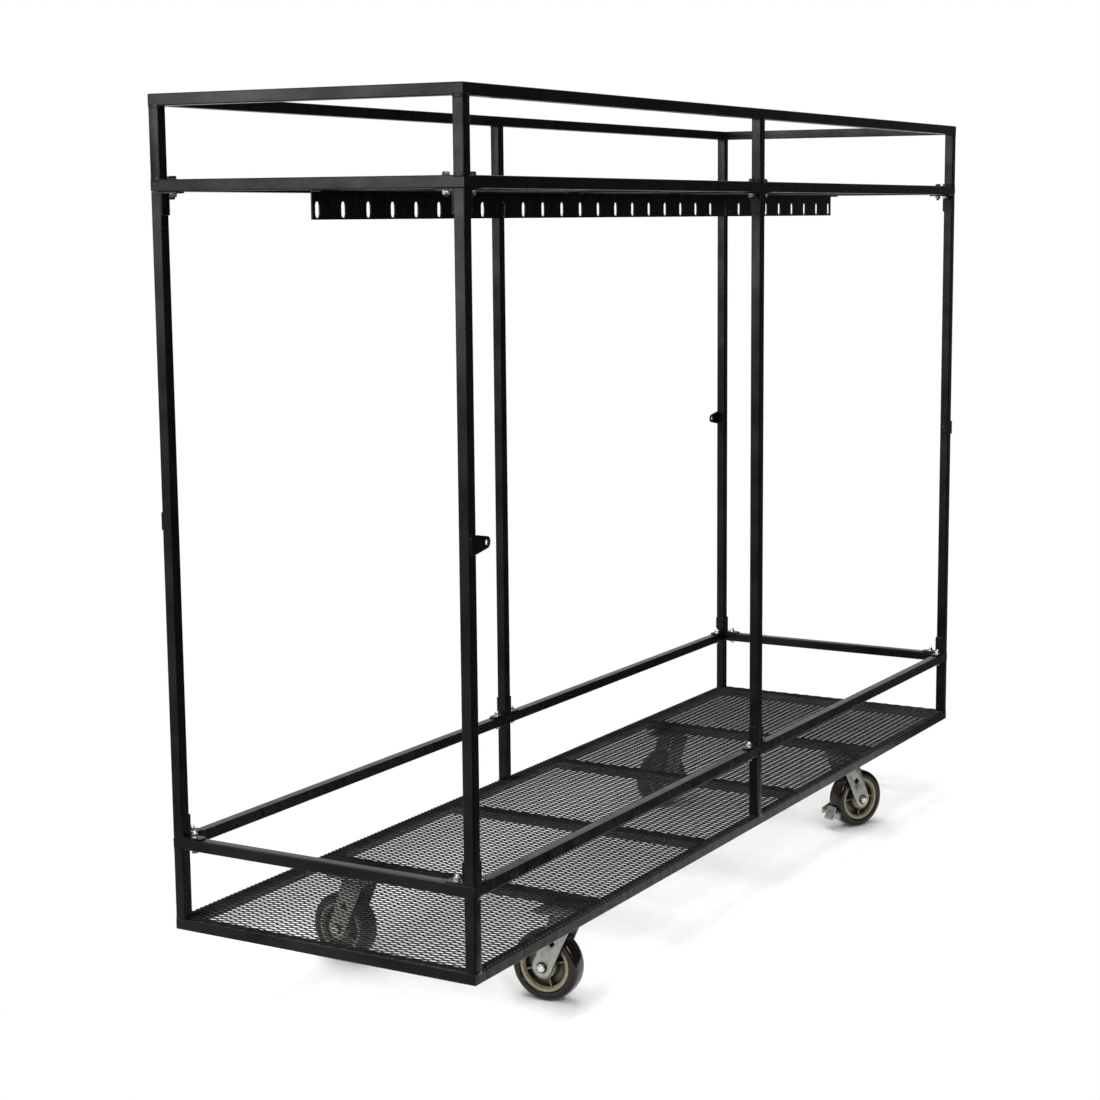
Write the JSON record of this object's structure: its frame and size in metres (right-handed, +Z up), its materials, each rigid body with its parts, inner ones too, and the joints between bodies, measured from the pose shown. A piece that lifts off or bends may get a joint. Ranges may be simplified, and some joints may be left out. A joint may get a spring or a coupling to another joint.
{
  "type": "rolling hanging rack",
  "caption": "Long rolling rack of black square steel tube: mesh deck with guard rail, bolted uprights, box top frame, slotted hanger rail and swivel casters.",
  "frame": {"origin": "on the floor, under the middle of the frame's plan", "axes": "+X along the rack towards the braked casters, +Y across it, +Z up"},
  "size_m": [2.7, 0.7985, 2.016],
  "materials": {
    "black_paint": "gloss black enamel over welded mild steel",
    "zinc": "bright zinc plated pressed steel",
    "wheel_core": "moulded, khaki beige, satin",
    "tyre": "smooth polished tread, dark brown-black"
  },
  "bodies": {
    "frame": {"base_rail_front": "black_paint", "base_rail_back": "black_paint", "base_rail_left": "black_paint", "base_rail_right": "black_paint", "guard_rail_front": "black_paint", "guard_rail_back": "black_paint", "guard_rail_left": "black_paint", "guard_rail_right": "black_paint", "top_lower_rail_front": "black_paint", "top_lower_rail_back": "black_paint", "top_lower_rail_left": "black_paint", "top_lower_rail_right": "black_paint", "top_upper_rail_front": "black_paint", "top_upper_rail_back": "black_paint", "top_upper_rail_left": "black_paint", "top_upper_rail_right": "black_paint", "base_post_front_left": "black_paint", "base_post_front_right": "black_paint", "base_post_back_left": "black_paint", "base_post_back_right": "black_paint", "top_post_front_left": "black_paint", "top_post_front_right": "black_paint", "top_post_back_left": "black_paint", "top_post_back_right": "black_paint", "cross_member_1": "black_paint", "cross_member_2": "black_paint", "cross_member_3": "black_paint", "cross_member_4": "black_paint", "top_cross_bar_1": "black_paint", "top_cross_bar_2": "black_paint", "top_cross_bar_3": "black_paint", "top_cross_bar_4": "black_paint", "deck_mesh": "black_paint", "hanger_rail": "black_paint", "upright_front_left": "black_paint", "upright_front_right": "black_paint", "upright_back_left": "black_paint", "upright_back_right": "black_paint", "upright_front_middle": "black_paint", "upright_back_middle": "black_paint", "caster_plate_front_left": "zinc", "caster_plate_front_right": "zinc", "caster_plate_back_left": "zinc", "caster_plate_back_right": "zinc"},
    "swivel_front_left": {"caster_fork_front_left": "zinc"},
    "wheel_front_left": {"wheel_core_front_left": "wheel_core", "tyre_front_left": "tyre"},
    "swivel_front_right": {"caster_fork_front_right": "zinc"},
    "wheel_front_right": {"wheel_core_front_right": "wheel_core", "tyre_front_right": "tyre"},
    "brake_front_right": {"brake_pedal_front_right": "zinc"},
    "swivel_back_left": {"caster_fork_back_left": "zinc"},
    "wheel_back_left": {"wheel_core_back_left": "wheel_core", "tyre_back_left": "tyre"},
    "swivel_back_right": {"caster_fork_back_right": "zinc"},
    "wheel_back_right": {"wheel_core_back_right": "wheel_core", "tyre_back_right": "tyre"},
    "brake_back_right": {"brake_pedal_back_right": "zinc"}
  },
  "joints": [
    {"name": "swivel_front_left", "type": "hinge", "parent": "frame", "child": "swivel_front_left", "pos_m": [-0.81638, -0.2835, 0.2054], "axis": [0, 0, 1], "continuous": true},
    {"name": "roll_front_left", "type": "hinge", "parent": "swivel_front_left", "child": "wheel_front_left", "pos_m": [-0.81917, -0.2436, 0.0825], "axis": [-0.9976, -0.0698, 0], "continuous": true},
    {"name": "swivel_front_right", "type": "hinge", "parent": "frame", "child": "swivel_front_right", "pos_m": [0.80238, -0.2835, 0.2054], "axis": [0, 0, 1], "continuous": true},
    {"name": "roll_front_right", "type": "hinge", "parent": "swivel_front_right", "child": "wheel_front_right", "pos_m": [0.83833, -0.30103, 0.0825], "axis": [0.4384, 0.8988, 0], "continuous": true},
    {"name": "brake_front_right", "type": "hinge", "parent": "swivel_front_right", "child": "brake_front_right", "pos_m": [0.83833, -0.30103, 0.0825], "axis": [-0.4384, -0.8988, 0], "range_deg": [0, 12]},
    {"name": "swivel_back_left", "type": "hinge", "parent": "frame", "child": "swivel_back_left", "pos_m": [-0.81638, 0.2835, 0.2054], "axis": [0, 0, 1], "continuous": true},
    {"name": "roll_back_left", "type": "hinge", "parent": "swivel_back_left", "child": "wheel_back_left", "pos_m": [-0.81359, 0.3234, 0.0825], "axis": [-0.9976, 0.0698, 0], "continuous": true},
    {"name": "swivel_back_right", "type": "hinge", "parent": "frame", "child": "swivel_back_right", "pos_m": [0.80238, 0.2835, 0.2054], "axis": [0, 0, 1], "continuous": true},
    {"name": "roll_back_right", "type": "hinge", "parent": "swivel_back_right", "child": "wheel_back_right", "pos_m": [0.76479, 0.29718, 0.0825], "axis": [-0.342, -0.9397, 0], "continuous": true},
    {"name": "brake_back_right", "type": "hinge", "parent": "swivel_back_right", "child": "brake_back_right", "pos_m": [0.76479, 0.29718, 0.0825], "axis": [0.342, 0.9397, 0], "range_deg": [0, 12]}
  ]
}
